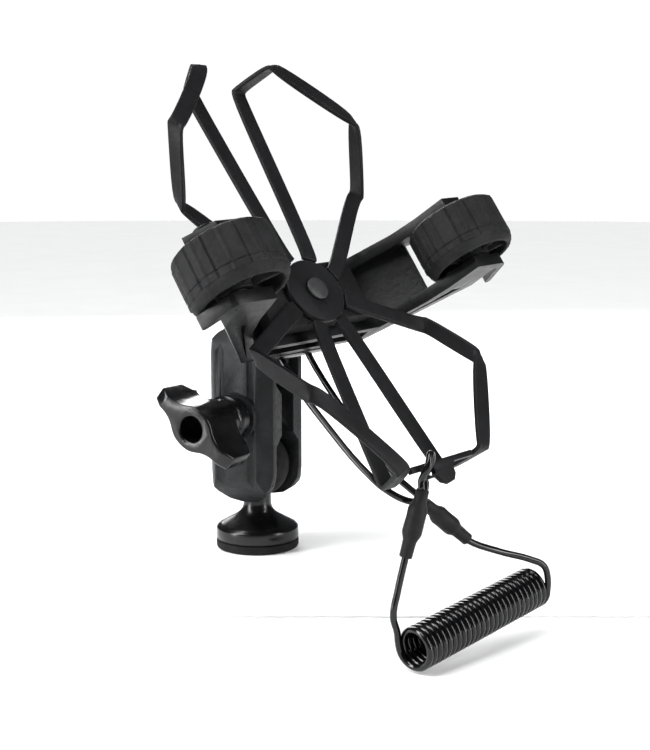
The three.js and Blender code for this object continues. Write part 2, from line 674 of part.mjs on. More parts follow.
// Pull tab: a tongue below the phone's bottom edge, with an eye for the leash
const tabTop = -phoneHalfU - fitGap - 0.2;
const tabOutline = [
  [-tabHalf, tabTop], [-tabHalf, tabTop - tabEdge], [-10.8, tabTop - tabEdge],
  [-10.8, tabTop - 3.4], [-9.2, tabTop - 5.4], [-5.6, tabTop - 5.4], [-4.4, tabTop - 7.6],
  [-1.6, tabTop - 9], [1.4, tabTop - 8.6], [3.5, tabTop - 6.4], [4, tabTop - 3],
  [6, tabTop - tabEdge], [tabHalf, tabTop - tabEdge], [tabHalf, tabTop],
];
const tabEye = solid(disc(tabEyeR, -tabT, tabT, 20).translate(tabEyeAt, tabTop - tabEyeDrop, 0));
piece(holder, 'harness_tab', shell(cut(
  solid(slab(tabOutline.slice().reverse(), -tabT / 2, tabT / 2)),
  tabEye,
)), silicone);

// Leash: two crimped eyes, two stepped sleeves, two leads and the coil between them
function along(geometry, from, to) {
  const start = new THREE.Vector3(...from);
  const heading = new THREE.Vector3(...to).sub(start).normalize();
  geometry.applyQuaternion(new THREE.Quaternion().setFromUnitVectors(new THREE.Vector3(0, 0, 1), heading));
  return geometry.translate(...start.toArray());
}
const span = (from, to) => new THREE.Vector3(...from).distanceTo(new THREE.Vector3(...to));
const frontSleeveEnds = [[-4.9, -91.9, 38.9], [-11.8, -90.1, 15.4]];
const rearSleeveEnds = [[7.5, -81.5, 30], [23.5, -88.5, 14.8]];
const coilEnds = [[-15.2, -96.1, -15.9], [55.2, -95.2, -7.6]];
const frontLoop = [
  [-6.3, -92.2, 40.3], [-7.6, -93.3, 42.1], [-8.6, -95, 44.2], [-8, -96.6, 47.6], [-6.3, -95.9, 50.8],
  [-4.7, -95, 51.7], [-3.8, -94.8, 49.8], [-3.8, -93.1, 45.8], [-3.6, -91.3, 42.4], [-3.4, -91.8, 40.3],
];
const rearLoop = [
  [6.2, -81.9, 30.6], [1, -79.5, 31.5], [-3.9, -73.7, 35.2], [-5.6, -67.5, 39.3], [-6.3, -45.2, 55.5],
  [-6.4, -26.4, 71.7], [-6.6, -17.7, 82.7], [-5.3, -13.4, 88.9], [-0.4, -11.4, 91.7], [5, -13.1, 89.3],
  [6.9, -17.4, 83.4], [7.8, -25.9, 72.3], [6.3, -44.8, 56.1], [4.9, -67.1, 39.7], [6.5, -75.6, 34.2],
  [7.6, -79.4, 31.6],
];
const frontLead = [[-11.9, -90.1, 15], [-14.6, -89.3, 4], [-16.4, -89, -5], [-14.4, -89.5, -9.6]];
const rearLead = [
  [23.9, -88.7, 14.4], [37, -93, 8.6], [48, -98.6, 4.6], [52.2, -101.2, 2], [53.6, -101.8, -1.2],
];
const sleeveShape = (length) => turned([
  [0, 0], [sleeveTailR, 0], [sleeveTailR, 4.5], [sleeveR, 6.5], [sleeveR, length - 8.5],
  [sleeveTailR, length - 6.5], [sleeveTailR, length], [0, length],
], 16);
function sleeve(name, ends) {
  piece(group, name, along(sleeveShape(span(...ends)), ...ends), softRubber);
}
piece(group, 'leash_front_loop', tube(frontLoop, cordR, 30), glossBlack);
sleeve('leash_front_sleeve', frontSleeveEnds);
piece(group, 'leash_front_lead', tube(frontLead, cordR, 6), glossBlack);
piece(group, 'leash_coil', along(disc(coilR, 0, span(...coilEnds), 24), ...coilEnds), glossBlack);
piece(group, 'leash_rear_lead', tube(rearLead, cordR, 10), glossBlack);
sleeve('leash_rear_sleeve', rearSleeveEnds);
piece(group, 'leash_rear_loop', tube(rearLoop, cordR, 72), glossBlack);

export default group;
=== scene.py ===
# Phone mount on a ball base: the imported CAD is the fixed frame, and every piece is built round it.
import math

import bmesh
import bpy
from mathutils import Matrix, Vector, noise


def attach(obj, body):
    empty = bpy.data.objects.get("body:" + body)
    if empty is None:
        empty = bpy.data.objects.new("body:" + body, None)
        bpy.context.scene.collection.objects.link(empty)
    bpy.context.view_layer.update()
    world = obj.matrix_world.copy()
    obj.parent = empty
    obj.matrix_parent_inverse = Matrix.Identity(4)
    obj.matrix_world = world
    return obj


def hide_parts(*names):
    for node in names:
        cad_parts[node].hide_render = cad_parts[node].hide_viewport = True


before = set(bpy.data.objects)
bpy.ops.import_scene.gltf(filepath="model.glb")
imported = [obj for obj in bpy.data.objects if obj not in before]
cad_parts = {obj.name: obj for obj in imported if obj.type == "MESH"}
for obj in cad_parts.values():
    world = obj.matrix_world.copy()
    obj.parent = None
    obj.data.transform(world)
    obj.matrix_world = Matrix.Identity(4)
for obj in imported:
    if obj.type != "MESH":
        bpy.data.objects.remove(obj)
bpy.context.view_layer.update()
print("frame loaded")

mm = 0.001
deg = math.pi / 180

# Places shared by many pieces, as in the CAD
mount = {
    "lowerBallZ": 32.8, "upperBallZ": 75.7, "armTurn": 17, "leanBack": 34.8, "roll": 3.15,
    "glassRise": 8, "glassReach": 59, "wingTilt": -38, "pinAxisR": 62.5, "pinAxisN": 8.9,
    "wheelCentreR": 60, "wheelCentreN": 9.9, "wheelMidU": -4.35,
}
armMidZ = (mount["lowerBallZ"] + mount["upperBallZ"]) / 2
armFrame = Matrix.Rotation(mount["armTurn"] * deg, 4, "Z")
knobFrame = (
    armFrame @ Matrix.Translation((0, 0, armMidZ * mm)) @ Matrix.Rotation(-90 * deg, 4, "Y")
    @ Matrix.Rotation(mount["wingTilt"] * deg, 4, "Z")
)
phoneFrame = (
    Matrix.Translation((0, 0, mount["upperBallZ"] * mm))
    @ Matrix.Rotation((90 - mount["leanBack"]) * deg, 4, "X")
    @ Matrix.Rotation(mount["roll"] * deg, 4, "Z")
    @ Matrix.Translation((0, mount["glassRise"] * mm, mount["glassReach"] * mm))
)


# Camera
view = {"place": (-358.9, -407.4, 149.0), "tilt": 81.53, "turn": -44.2, "lens": 67.46}
camera = bpy.data.objects.new("viewCamera", bpy.data.cameras.new("viewCamera"))
bpy.context.scene.collection.objects.link(camera)
camera.location = Vector(view["place"]) * mm
camera.rotation_euler = (view["tilt"] * deg, 0, view["turn"] * deg)
camera.data.lens = view["lens"]
camera.data.sensor_width = 36
camera.data.clip_start = 0.01
bpy.context.scene.camera = camera
print("camera placed")


# Materials
def linearColour(hexText):
    parts = [int(hexText[i:i + 2], 16) / 255 for i in (1, 3, 5)]
    return (*[c / 12.92 if c <= 0.04045 else ((c + 0.055) / 1.055) ** 2.4 for c in parts], 1)


def addNode(tree, kind, settings=None, inputs=None):
    node = tree.nodes.new(kind)
    for name, value in (settings or {}).items():
        setattr(node, name, value)
    for name, value in (inputs or {}).items():
        if isinstance(value, bpy.types.NodeSocket):
            tree.links.new(value, node.inputs[name])
        else:
            node.inputs[name].default_value = value
    return node


def newMaterial(name, shaderValues):
    material = bpy.data.materials.new(name)
    material.use_nodes = True
    tree = material.node_tree
    tree.nodes.clear()
    shader = addNode(tree, "ShaderNodeBsdfPrincipled", None, shaderValues)
    addNode(tree, "ShaderNodeOutputMaterial", None, {"Surface": shader.outputs["BSDF"]})
    return material, tree, shader


def perMetre(sizeMm):
    return 1 / (sizeMm * mm)


def grainedFinish(name, look, shaderValues):
    # colour drifts in soft patches, gloss follows finer ones, and the grain is a bump
    material, tree, shader = newMaterial(name, shaderValues)
    place = addNode(tree, "ShaderNodeTexCoord").outputs["Object"]
    patches = addNode(tree, "ShaderNodeTexNoise", None, {
        "Vector": place, "Scale": perMetre(look["patchMm"]), "Detail": 5, "Roughness": 0.6})
    ramp = addNode(tree, "ShaderNodeValToRGB", None, {"Fac": patches.outputs["Fac"]})
    ramp.color_ramp.elements[0].position = look.get("rampLow", 0.35)
    ramp.color_ramp.elements[1].position = look.get("rampHigh", 0.68)
    ramp.color_ramp.elements[0].color = linearColour(look["dark"])
    ramp.color_ramp.elements[1].color = linearColour(look["light"])
    tree.links.new(ramp.outputs["Color"], shader.inputs["Base Color"])
    smears = addNode(tree, "ShaderNodeTexNoise", None, {
        "Vector": place, "Scale": perMetre(look["smearMm"]), "Detail": 4, "Roughness": 0.55})
    gloss = addNode(tree, "ShaderNodeMapRange", None, {
        "Value": smears.outputs["Fac"], "From Min": 0.3, "From Max": 0.7,
        "To Min": look["roughLow"], "To Max": look["roughHigh"]})
    tree.links.new(gloss.outputs["Result"], shader.inputs["Roughness"])
    grain = addNode(tree, "ShaderNodeTexNoise", None, {
        "Vector": place, "Scale": perMetre(look["grainMm"]), "Detail": 2, "Roughness": 0.5})
    coarse = addNode(tree, "ShaderNodeBump", None, {
        "Height": smears.outputs["Fac"], "Strength": look["smearBump"], "Distance": look["smearMm"] * mm})
    fine = addNode(tree, "ShaderNodeBump", None, {
        "Height": grain.outputs["Fac"], "Strength": look["grainBump"], "Distance": look["grainMm"] * mm,
        "Normal": coarse.outputs["Normal"]})
    tree.links.new(fine.outputs["Normal"], shader.inputs["Normal"])
    return material


# Glass-filled nylon, moulded glossy: deep black, faint flow ripple under a clear skin
glossNylon = grainedFinish("glossNylon", {
    "dark": "#060607", "light": "#0c0c0d", "patchMm": 14, "smearMm": 4.5, "roughLow": 0.16, "roughHigh": 0.27,
    "grainMm": 0.35, "smearBump": 0.035, "grainBump": 0.05}, {"IOR": 1.53, "Specular IOR Level": 0.3})
# Glass-filled composite from a spark-textured mould: a sandy grain, greyer where it is rubbed
satinComposite = grainedFinish("satinComposite", {
    "dark": "#0e0f10", "light": "#1d1e20", "patchMm": 7, "smearMm": 1.8, "roughLow": 0.34, "roughHigh": 0.5,
    "grainMm": 0.5, "smearBump": 0.12, "grainBump": 0.4}, {"IOR": 1.53, "Specular IOR Level": 0.17})
# Moulded nylon, satin: even, with a soft sheen
yokeNylon = grainedFinish("yokeNylon", {
    "dark": "#0b0b0c", "light": "#151617", "patchMm": 12, "smearMm": 2.5, "roughLow": 0.3, "roughHigh": 0.42,
    "grainMm": 0.4, "smearBump": 0.05, "grainBump": 0.12}, {"IOR": 1.53, "Specular IOR Level": 0.2})
# Cast rubber tread: blotched grey bloom over black, dull and slightly pitted
treadRubber = grainedFinish("treadRubber", {
    "dark": "#141415", "light": "#242425", "patchMm": 9, "smearMm": 1.6, "roughLow": 0.6, "roughHigh": 0.8,
    "grainMm": 0.5, "smearBump": 0.18, "grainBump": 0.3, "rampLow": 0.3, "rampHigh": 0.75},
    {"IOR": 1.5, "Specular IOR Level": 0.14})
# Neoprene-like sheet rubber
footRubber = grainedFinish("footRubber", {
    "dark": "#0c0c0d", "light": "#161617", "patchMm": 7, "smearMm": 2, "roughLow": 0.62, "roughHigh": 0.78,
    "grainMm": 0.5, "smearBump": 0.12, "grainBump": 0.2}, {"IOR": 1.5, "Specular IOR Level": 0.15})
# Silicone, moulded matt: smooth, with a dry powdery bloom
mattSilicone = grainedFinish("mattSilicone", {
    "dark": "#0f0f10", "light": "#18181a", "patchMm": 16, "smearMm": 3, "roughLow": 0.4, "roughHigh": 0.55,
    "grainMm": 0.3, "smearBump": 0.04, "grainBump": 0.08},
    {"IOR": 1.42, "Specular IOR Level": 0.15, "Sheen Weight": 0.03, "Sheen Roughness": 0.4})
# Extruded polyurethane cord: wet-looking black
glossUrethane = grainedFinish("glossUrethane", {
    "dark": "#050506", "light": "#0b0b0c", "patchMm": 10, "smearMm": 3, "roughLow": 0.08, "roughHigh": 0.16,
    "grainMm": 0.6, "smearBump": 0.02, "grainBump": 0.02}, {"IOR": 1.5, "Specular IOR Level": 0.35})
# Heat-shrink tube: dull, drawn a little uneven over the crimp
shrinkTube = grainedFinish("shrinkTube", {
    "dark": "#0d0d0d", "light": "#181818", "patchMm": 5, "smearMm": 1.4, "roughLow": 0.5, "roughHigh": 0.68,
    "grainMm": 0.5, "smearBump": 0.15, "grainBump": 0.1}, {"IOR": 1.5, "Specular IOR Level": 0.18})
# Zinc-plated steel: cool grey, faintly streaked
zincSteel = grainedFinish("zincSteel", {
    "dark": "#9a9ea2", "light": "#c3c7ca", "patchMm": 3, "smearMm": 0.8, "roughLow": 0.22, "roughHigh": 0.36,
    "grainMm": 0.3, "smearBump": 0.03, "grainBump": 0.08}, {"Metallic": 1.0})
# Black-oxide steel
blackOxide = grainedFinish("blackOxide", {
    "dark": "#0e0f10", "light": "#191a1c", "patchMm": 3, "smearMm": 0.8, "roughLow": 0.3, "roughHigh": 0.42,
    "grainMm": 0.3, "smearBump": 0.03, "grainBump": 0.08}, {"Metallic": 0.6})
# Free-turning brass, as turned
turnedBrass = grainedFinish("turnedBrass", {
    "dark": "#a8873f", "light": "#c7a458", "patchMm": 3, "smearMm": 1, "roughLow": 0.25, "roughHigh": 0.38,
    "grainMm": 0.3, "smearBump": 0.02, "grainBump": 0.08}, {"Metallic": 1.0})
# Acetal-like bush stock
bushNylon = grainedFinish("bushNylon", {
    "dark": "#202021", "light": "#2c2c2e", "patchMm": 4, "smearMm": 1.5, "roughLow": 0.4, "roughHigh": 0.52,
    "grainMm": 0.4, "smearBump": 0.03, "grainBump": 0.08}, {"IOR": 1.48})
# Painted board for the floor and ledge
paleBoard = grainedFinish("paleBoard", {
    "dark": "#fafafa", "light": "#fdfdfd", "patchMm": 80, "smearMm": 30, "roughLow": 0.6, "roughHigh": 0.7,
    "grainMm": 2, "smearBump": 0.0, "grainBump": 0.0}, {"IOR": 1.45})
print("materials mixed")


# Building helpers
def place(bm, matrix):
    bmesh.ops.transform(bm, matrix=matrix, verts=bm.verts[:])


def finishPiece(name, bm, material, smoothAngle=32):
    bmesh.ops.recalc_face_normals(bm, faces=bm.faces[:])
    mesh = bpy.data.meshes.new(name)
    bm.to_mesh(mesh)
    bm.free()
    mesh.materials.append(material)
    mesh.polygons.foreach_set("use_smooth", [True] * len(mesh.polygons))
    mesh.set_sharp_from_angle(angle=smoothAngle * deg)
    piece = bpy.data.objects.new(name, mesh)
    bpy.context.scene.collection.objects.link(piece)
    return piece


def settle(piece, body, slotName, *nodes):
    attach(piece, body)
    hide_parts(*nodes)
    return piece


def spun(profile, steps=96, closed=False):
    # profile points are [radius, height] in mm, turned once about Z
    bm = bmesh.new()
    verts = [bm.verts.new((r * mm, 0, z * mm)) for r, z in profile]
    edges = [bm.edges.new(pair) for pair in zip(verts, verts[1:])]
    if closed:
        edges.append(bm.edges.new((verts[-1], verts[0])))
    bmesh.ops.spin(bm, geom=verts + edges, cent=(0, 0, 0), axis=(0, 0, 1), angle=2 * math.pi,
                   steps=steps, use_merge=True)
    bmesh.ops.remove_doubles(bm, verts=bm.verts[:], dist=1e-6)
    bmesh.ops.dissolve_degenerate(bm, dist=1e-7, edges=bm.edges[:])
    return bm


def arcPoints(radius, centreZ, first, last, count):
    # angles are from straight up, in degrees
    return [(abs(radius * math.sin(a * deg)), centreZ + radius * math.cos(a * deg))
            for a in [first + (last - first) * i / count for i in range(count + 1)]]


def sharpEdges(bm, angle, wanted=lambda edge: True):
    return [
        e for e in bm.edges
        if len(e.link_faces) == 2 and e.calc_face_angle(0) > angle * deg and wanted(e)]


def soften(bm, width, segments=3, angle=30, wanted=lambda edge: True):
    edges = sharpEdges(bm, angle, wanted)
    bmesh.ops.bevel(
        bm, geom=edges, offset=width * mm, offset_type="OFFSET", affect="EDGES",
        segments=segments, profile=0.5, material=-1, clamp_overlap=True)


def cleanCopy(node):
    bm = bmesh.new()
    bm.from_mesh(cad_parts[node].data)
    bmesh.ops.remove_doubles(bm, verts=bm.verts[:], dist=2e-6)
    bmesh.ops.dissolve_limit(bm, angle_limit=0.6 * deg, verts=bm.verts[:], edges=bm.edges[:])
    return bm


def addShell(bm, other):
    mesh = bpy.data.meshes.new("shellToAdd")
    other.to_mesh(mesh)
    other.free()
    bm.from_mesh(mesh)
    bpy.data.meshes.remove(mesh)


# Leash: the same route as the CAD's, in mm
leash = {
    "cordDiameter": 2.5, "coilMeanR": 6.6, "turns": 26.5, "turnPoints": 14,
    "coilEnds": [(-15.2, -96.1, -15.9), (55.2, -95.2, -7.6)],
    "frontLead": [
        (-11.3, -90.2, 17.0), (-11.9, -90.1, 15), (-14.6, -89.3, 4), (-16.4, -89, -5),
        (-14.9, -89.4, -10.5)],
    "rearLead": [
        (53.9, -101.8, -2.2), (52.2, -101.2, 2), (48, -98.6, 4.6), (37, -93, 8.6),
        (23.9, -88.7, 14.4), (22.3, -88.0, 15.9)],
    "frontEye": [
        (-5.4, -91.8, 37.2), (-6.3, -92.2, 40.3), (-7.6, -93.3, 42.1), (-8.6, -95, 44.2), (-8, -96.6, 47.6),
        (-6.3, -95.9, 50.8), (-4.7, -95, 51.7), (-3.8, -94.8, 49.8), (-3.8, -93.1, 45.8), (-3.6, -91.3, 42.4),
        (-3.4, -91.8, 40.3), (-4.4, -91.9, 37.2)],
    "rearEye": [
        (8.0, -81.9, 29.5), (6.2, -81.9, 30.6), (1, -79.5, 31.5), (-3.9, -73.7, 35.2),
        (-5.6, -67.5, 39.3), (-6.3, -45.2, 55.5),
        (-6.4, -26.4, 71.7), (-6.6, -17.7, 82.7), (-5.3, -13.4, 88.9), (-0.4, -11.4, 91.7), (5, -13.1, 89.3),
        (6.9, -17.4, 83.4), (7.8, -25.9, 72.3), (6.3, -44.8, 56.1), (4.9, -67.1, 39.7), (6.5, -75.6, 34.2),
        (7.6, -79.4, 31.6), (8.4, -81.2, 29.3)],
}


def cordCurve(name, points, radius):
    data = bpy.data.curves.new(name, "CURVE")
    data.dimensions = "3D"
    data.resolution_u = 5
    data.bevel_depth = radius * mm
    data.bevel_resolution = 4
    data.use_fill_caps = True
    spline = data.splines.new("BEZIER")
    spline.bezier_points.add(len(points) - 1)
    for bezier, point in zip(spline.bezier_points, points):
        bezier.co = Vector(point) * mm
        bezier.handle_left_type = bezier.handle_right_type = "AUTO"
    data.materials.append(glossUrethane)
    cord = bpy.data.objects.new(name, data)
    bpy.context.scene.collection.objects.link(cord)
    return cord


def coilPoints():
    near, far = [Vector(end) for end in leash["coilEnds"]]
    axis = (far - near).normalized()
    toSide = (Vector((0, 1, 0)) - axis * axis.y).normalized()
    upward = toSide.cross(axis) * -1
    half = leash["cordDiameter"] / 2
    length = (far - near).length - 2 * half
    count = round(leash["turns"] * leash["turnPoints"])
    points = []
    for i in range(count + 1):
        turn = 2 * math.pi * leash["turns"] * i / count
        centre = near + axis * (half + length * i / count)
        ring = toSide * math.cos(turn) - upward * math.sin(turn)
        points.append(centre + ring * leash["coilMeanR"])
    return points


def routeLength(cord):
    spline = cord.data.splines[0]
    return spline.calc_length()


cordRadius = leash["cordDiameter"] / 2
leashCoil = cordCurve("leashCord", leash["frontLead"] + coilPoints() + leash["rearLead"], cordRadius)
frontEye = cordCurve("leashFrontEye", leash["frontEye"], cordRadius)
rearEye = cordCurve("leashRearEye", leash["rearEye"], cordRadius)
settle(leashCoil, "cradle", "cord_urethane", "leash_coil", "leash_front_lead", "leash_rear_lead")
settle(frontEye, "cradle", "cord_urethane", "leash_front_loop")
settle(rearEye, "cradle", "cord_urethane", "leash_rear_loop")

sleeves = {
    "ends": {
        "Front": [(-4.9, -91.9, 38.9), (-11.8, -90.1, 15.4)],
        "Rear": [(7.5, -81.5, 30), (23.5, -88.5, 14.8)]},
    "tailR": 2.3, "fatR": 3.5,
}
for sleeveName, (first, last) in sleeves["ends"].items():
    heading = Vector(last) - Vector(first)
    reach = heading.length
    tail, fat = sleeves["tailR"], sleeves["fatR"]
    profile = [
        (0.4, 0.25), (tail - 0.35, 0.1), (tail - 0.05, 0.35), (tail, 1.2), (tail + 0.08, 3.4),
        (tail + 0.15, 4.6), (tail + 0.55, 5.5), (fat - 0.25, 6.4), (fat, 7.4),
        (fat - 0.12, reach * 0.42), (fat - 0.02, reach - 9.2), (fat - 0.2, reach - 8.2),
        (tail + 0.5, reach - 7.1), (tail + 0.12, reach - 6.1), (tail + 0.02, reach - 3.5),
        (tail, reach - 1.1), (tail - 0.05, reach - 0.35), (tail - 0.35, reach - 0.1), (0.4, reach - 0.25)]
    bm = spun([(0, 0.25)] + profile + [(0, reach - 0.25)], 32)
    place(bm, Matrix.Translation(Vector(first) * mm) @ heading.to_track_quat("Z", "Y").to_matrix().to_4x4())
    sleeve = finishPiece("leashSleeve" + sleeveName, bm, shrinkTube, 50)
    settle(sleeve, "cradle", "shrink_sleeve", "leash_" + sleeveName.lower() + "_sleeve")

print("leash laid, coil cord", round(routeLength(leashCoil), 3), "m")


# Base: turned body with its neck and ball core, and the rubber foot
base = {"rimR": 16.2, "rimTop": 8.4, "padR": 16.3, "padH": 3.5, "neckR": 5.5, "coreR": 10.8}
rimLow = base["padH"] + 0.3
coreStart = 180 - math.degrees(math.asin(base["neckR"] / base["coreR"]))
bodyProfile = [
    (0, rimLow), (base["rimR"] - 0.5, rimLow), (base["rimR"] - 0.12, rimLow + 0.15),
    (base["rimR"], rimLow + 0.5),
    (base["rimR"], base["rimTop"] - 0.5), (base["rimR"] - 0.1, base["rimTop"] - 0.15),
    (base["rimR"] - 0.4, base["rimTop"] + 0.15), (15.4, 9.05), (14, 9.85), (12.6, 10.65),
    (11.3, 11.35), (10, 12.05), (8.9, 12.7), (8, 13.3), (7.25, 13.9), (6.7, 14.5), (6.25, 15.1),
    (5.9, 15.85), (5.65, 16.7),
    (base["neckR"], 17.6)]
bodyProfile += arcPoints(base["coreR"], mount["lowerBallZ"], coreStart, 0, 24)
baseBody = finishPiece("baseBody", spun(bodyProfile), glossNylon, 40)
settle(baseBody, "base", "gloss_nylon", "base_body")
padR, padH = base["padR"], base["padH"]
padProfile = [
    (5.3, 0.0), (padR - 1.1, 0.0), (padR - 0.35, 0.3), (padR - 0.05, 0.9), (padR - 0.1, 1.5), (padR, 2.1),
    (padR - 0.15, padH - 0.25), (padR - 0.6, padH), (5.3, padH)]
basePad = finishPiece("basePad", spun(padProfile, 96, closed=True), footRubber, 35)
settle(basePad, "base", "ball_rubber", "base_pad")
print("base turned")


# Ball covers
covers = {"outerR": 12.7, "wall": 1.6, "lowerNeck": 5.5, "upperNeck": 4.8}


def ballCover(neckR):
    outerR, innerR = covers["outerR"], covers["outerR"] - covers["wall"]
    openAt = 180 - math.degrees(math.asin((neckR + 0.5) / innerR))
    loop = arcPoints(outerR, 0, openAt + 1, 0, 26) + arcPoints(innerR, 0, 0, openAt, 22)
    return spun(loop, 64, closed=True)


lowerCover = ballCover(covers["lowerNeck"])
place(lowerCover, Matrix.Translation((0, 0, mount["lowerBallZ"] * mm)))
settle(finishPiece("lowerBallCover", lowerCover, footRubber), "lower_ball", "ball_rubber", "lower_ball_cover")
upperCover = ballCover(covers["upperNeck"])
place(upperCover, phoneFrame @ Matrix.Translation((0, -mount["glassRise"] * mm, -mount["glassReach"] * mm))
      @ Matrix.Rotation(math.pi, 4, "X"))
settle(finishPiece("upperBallCover", upperCover, footRubber), "upper_ball", "ball_rubber", "upper_ball_cover")


# Arm halves
arm = {"bevel": 0.4, "socketR": 13, "socketGap": 0.4, "boltZoneR": 10.5, "shortEdge": 1.2}
ballCentres = [Vector((0, 0, mount[z] * mm)) for z in ("lowerBallZ", "upperBallZ")]


def awayFromSockets(edge):
    onSocket = any(
        abs((v.co - c).length - arm["socketR"] * mm) < arm["socketGap"] * mm
        for v in edge.verts for c in ballCentres)
    across = armFrame.inverted() @ ((edge.verts[0].co + edge.verts[1].co) / 2)
    nearBolt = Vector((across.y, across.z - armMidZ * mm)).length < arm["boltZoneR"] * mm
    return not onSocket and not nearBolt and edge.calc_length() > arm["shortEdge"] * mm


for armSide, nodeName in (("Knob", "arm_knob_half"), ("Bolt", "arm_bolt_half")):
    bm = cleanCopy(nodeName)
    soften(bm, arm["bevel"], 3, 18, awayFromSockets)
    armHalf = finishPiece("arm" + armSide + "Half", bm, satinComposite, 30)
    settle(armHalf, "arm", "satin_composite", nodeName)
print("arm shaped")


# Wing knob: a round hub with its skirt, and a bow-shaped head with two wings and the bore
knob = {
    "reach": 46, "start": 19.5, "skirtR": 9, "skirtH": 4, "wingDepth": 18, "boreR": 4.75, "boreDepth": 9,
    "bevel": 0.8, "baseDraw": 4, "baseRun": 5, "endDraw": 2.5, "endRun": 4, "wingHalf": 19.5,
    "quarter": [
        (8, 0), (7.95, 1.2), (7.7, 3), (7.25, 4.3), (6.6, 5.5), (5.7, 6.8), (4.8, 8), (4, 9.4),
        (3.4, 11), (3.05, 12.5), (2.9, 14.5), (2.9, 15.5), (2.9, 17.5), (2.9, 19.5)],
}
quarter = knob["quarter"]
outline = quarter + [(-x, y) for x, y in reversed(quarter)]
outline += [(x * -1, -y) for x, y in quarter[1:]] + [(x, -y) for x, y in reversed(quarter[1:])]
bm = bmesh.new()
backZ = (knob["reach"] - knob["wingDepth"]) * mm
rim = [bm.verts.new((x * mm, y * mm, backZ)) for x, y in outline]
rimEdges = [bm.edges.new((a, b)) for a, b in zip(rim, rim[1:] + rim[:1])]
bore = bmesh.ops.create_circle(bm, cap_ends=False, radius=knob["boreR"] * mm, segments=48,
                               matrix=Matrix.Translation((0, 0, backZ)))
boreEdges = list({e for v in bore["verts"] for e in v.link_edges})
bmesh.ops.triangle_fill(bm, use_beauty=True, edges=rimEdges + boreEdges)
lifted = bmesh.ops.extrude_face_region(bm, geom=bm.faces[:] + bm.edges[:] + bm.verts[:])
raised = [g for g in lifted["geom"] if isinstance(g, bmesh.types.BMVert)]
bmesh.ops.translate(bm, vec=(0, 0, knob["wingDepth"] * mm), verts=raised)
bmesh.ops.recalc_face_normals(bm, faces=bm.faces[:])
# the wings' tips are drawn back at both ends of their depth
for v in bm.verts:
    pastWaist = abs(v.co.y) / mm - knob["wingHalf"]
    if v.co.z / mm > knob["reach"] - 1:
        v.co.z -= knob["endDraw"] * max(0.0, 1 + pastWaist / knob["endRun"]) * mm
    else:
        v.co.z += knob["baseDraw"] * max(0.0, 1 + pastWaist / knob["baseRun"]) * mm
bmesh.ops.dissolve_limit(bm, angle_limit=0.5 * deg, verts=bm.verts[:], edges=bm.edges[:])
soften(bm, knob["bevel"], 3, 35)
hubTop = knob["reach"] - knob["boreDepth"]
skirtTop = knob["start"] + knob["skirtH"]
hub = spun([
    (0, knob["start"]), (knob["skirtR"] - 0.4, knob["start"]), (knob["skirtR"], knob["start"] + 0.4),
    (knob["skirtR"], skirtTop - 0.3), (knob["skirtR"] - 0.3, skirtTop),
    (7.75, skirtTop + 1.2), (7.7, skirtTop + 2), (7.9, hubTop - 4),
    (7.9, hubTop - 0.2), (7.6, hubTop), (0, hubTop)], 64)
addShell(bm, hub)
place(bm, knobFrame)
settle(finishPiece("wingKnob", bm, glossNylon, 35), "knob", "gloss_nylon", "wing_knob")
print("knob shaped")


# Wheels: a ribbed tread, a recessed face, an eccentric hub and spokes seen at the open end
wheel = {
    "radius": 18, "width": 20.2, "rimT": 3.5, "webT": 7, "hubR": 6.6, "bushR": 4.2, "spokes": 7, "spokeT": 2,
    "ribAngles": [8, 40, 66, 104, 131, 168, 197, 229, 262, 288, 321, 344], "ribProud": 0.4, "groove": 0.6,
    "partingAt": -4.0, "bandT": 3.6,
}


def treadOffset(angle, height, side):
    # mm out from the plain tread: ribs at their angles, grooves between them, panels slightly uneven
    offset = 0.0
    arc = wheel["radius"] * deg
    for number, ribAngle in enumerate(wheel["ribAngles"]):
        away = abs((angle - ribAngle + 180) % 360 - 180) * arc
        offset += wheel["ribProud"] * max(0.0, 1 - max(0.0, away - 0.35) / 0.5)
        nextAngle = wheel["ribAngles"][(number + 1) % len(wheel["ribAngles"])]
        share = 0.36 + 0.3 * ((number * 7 + side) % 5) / 4
        grooveAngle = ribAngle + ((nextAngle - ribAngle) % 360) * share
        awayGroove = abs((angle - grooveAngle + 180) % 360 - 180) * arc
        offset -= wheel["groove"] * max(0.0, 1 - max(0.0, awayGroove - 0.2) / 0.45)
    panel = noise.noise(Vector((angle / 17.0, side * 5.0, 0.3 if height > wheel["partingAt"] else 4.1)))
    offset += 0.16 * panel
    offset -= 0.3 * max(0.0, 1 - abs(height - wheel["partingAt"]) / 0.35)
    return offset


